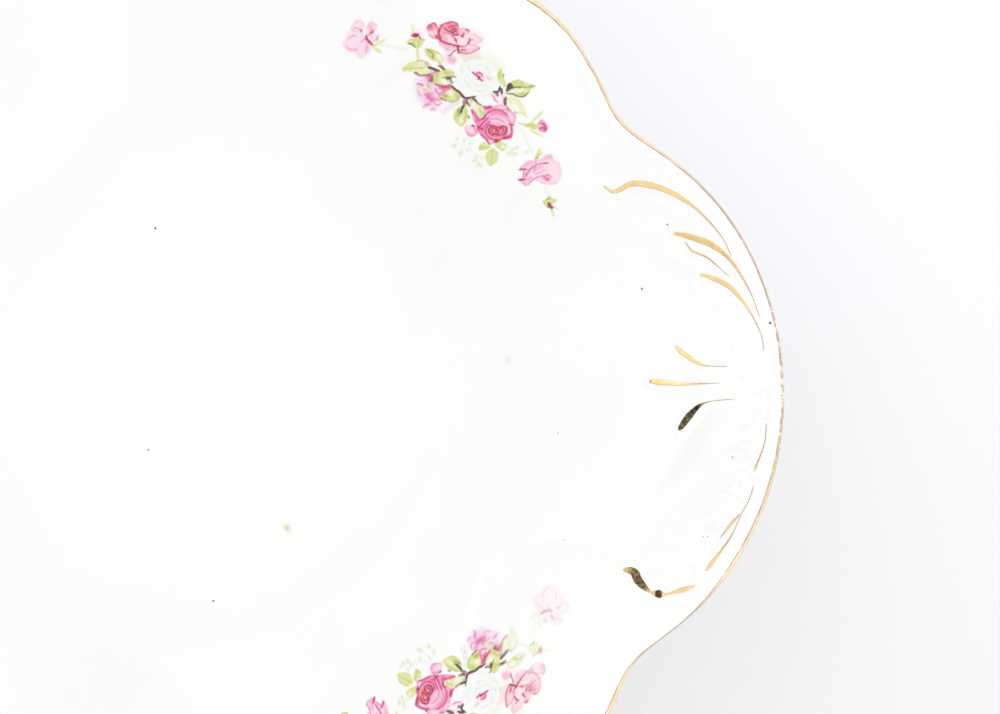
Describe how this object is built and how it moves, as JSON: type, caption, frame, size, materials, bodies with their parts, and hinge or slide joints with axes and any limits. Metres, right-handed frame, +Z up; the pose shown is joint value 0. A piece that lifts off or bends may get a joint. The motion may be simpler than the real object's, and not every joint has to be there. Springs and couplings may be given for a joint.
{
  "type": "porcelain serving bowl",
  "caption": "Shallow round porcelain serving bowl with a lobed gilt rim, gilt brush strokes and printed rose sprays inside, standing on a foot ring.",
  "frame": {"origin": "on the surface the bowl stands on, under the middle of the bowl", "axes": "+Z up along the bowl's axis; +X and +Y point out along the middles of large lobes"},
  "size_m": [0.263, 0.263, 0.063],
  "materials": {
    "glazed_porcelain": "clear gloss glaze over white porcelain",
    "bare_porcelain": "glazed sides, tread wiped bare",
    "fired_gold": "polished gold lustre, worn in places",
    "rose_print": "transfer print of pink and white roses, fired into the glaze"
  },
  "bodies": {
    "root": {"bowl_body": "glazed_porcelain", "foot_ring": "bare_porcelain", "rim_gilding": "fired_gold", "rose_spray_northeast": "rose_print", "rose_spray_northwest": "rose_print", "rose_spray_southwest": "rose_print", "rose_spray_southeast": "rose_print", "gilt_long_plume_east": "fired_gold", "gilt_upper_frond_east": "fired_gold", "gilt_upper_twig_east": "fired_gold", "gilt_inner_frond_east": "fired_gold", "gilt_left_petal_east": "fired_gold", "gilt_middle_petal_east": "fired_gold", "gilt_right_petal_east": "fired_gold", "gilt_lower_frond_tip_east": "fired_gold", "gilt_lower_frond_east": "fired_gold", "gilt_lower_twig_east": "fired_gold", "gilt_lower_scroll_east": "fired_gold", "gilt_long_plume_north": "fired_gold", "gilt_upper_frond_north": "fired_gold", "gilt_upper_twig_north": "fired_gold", "gilt_inner_frond_north": "fired_gold", "gilt_left_petal_north": "fired_gold", "gilt_middle_petal_north": "fired_gold", "gilt_right_petal_north": "fired_gold", "gilt_lower_frond_tip_north": "fired_gold", "gilt_lower_frond_north": "fired_gold", "gilt_lower_twig_north": "fired_gold", "gilt_lower_scroll_north": "fired_gold", "gilt_long_plume_west": "fired_gold", "gilt_upper_frond_west": "fired_gold", "gilt_upper_twig_west": "fired_gold", "gilt_inner_frond_west": "fired_gold", "gilt_left_petal_west": "fired_gold", "gilt_middle_petal_west": "fired_gold", "gilt_right_petal_west": "fired_gold", "gilt_lower_frond_tip_west": "fired_gold", "gilt_lower_frond_west": "fired_gold", "gilt_lower_twig_west": "fired_gold", "gilt_lower_scroll_west": "fired_gold", "gilt_long_plume_south": "fired_gold", "gilt_upper_frond_south": "fired_gold", "gilt_upper_twig_south": "fired_gold", "gilt_inner_frond_south": "fired_gold", "gilt_left_petal_south": "fired_gold", "gilt_middle_petal_south": "fired_gold", "gilt_right_petal_south": "fired_gold", "gilt_lower_frond_tip_south": "fired_gold", "gilt_lower_frond_south": "fired_gold", "gilt_lower_twig_south": "fired_gold", "gilt_lower_scroll_south": "fired_gold"}
  },
  "joints": []
}
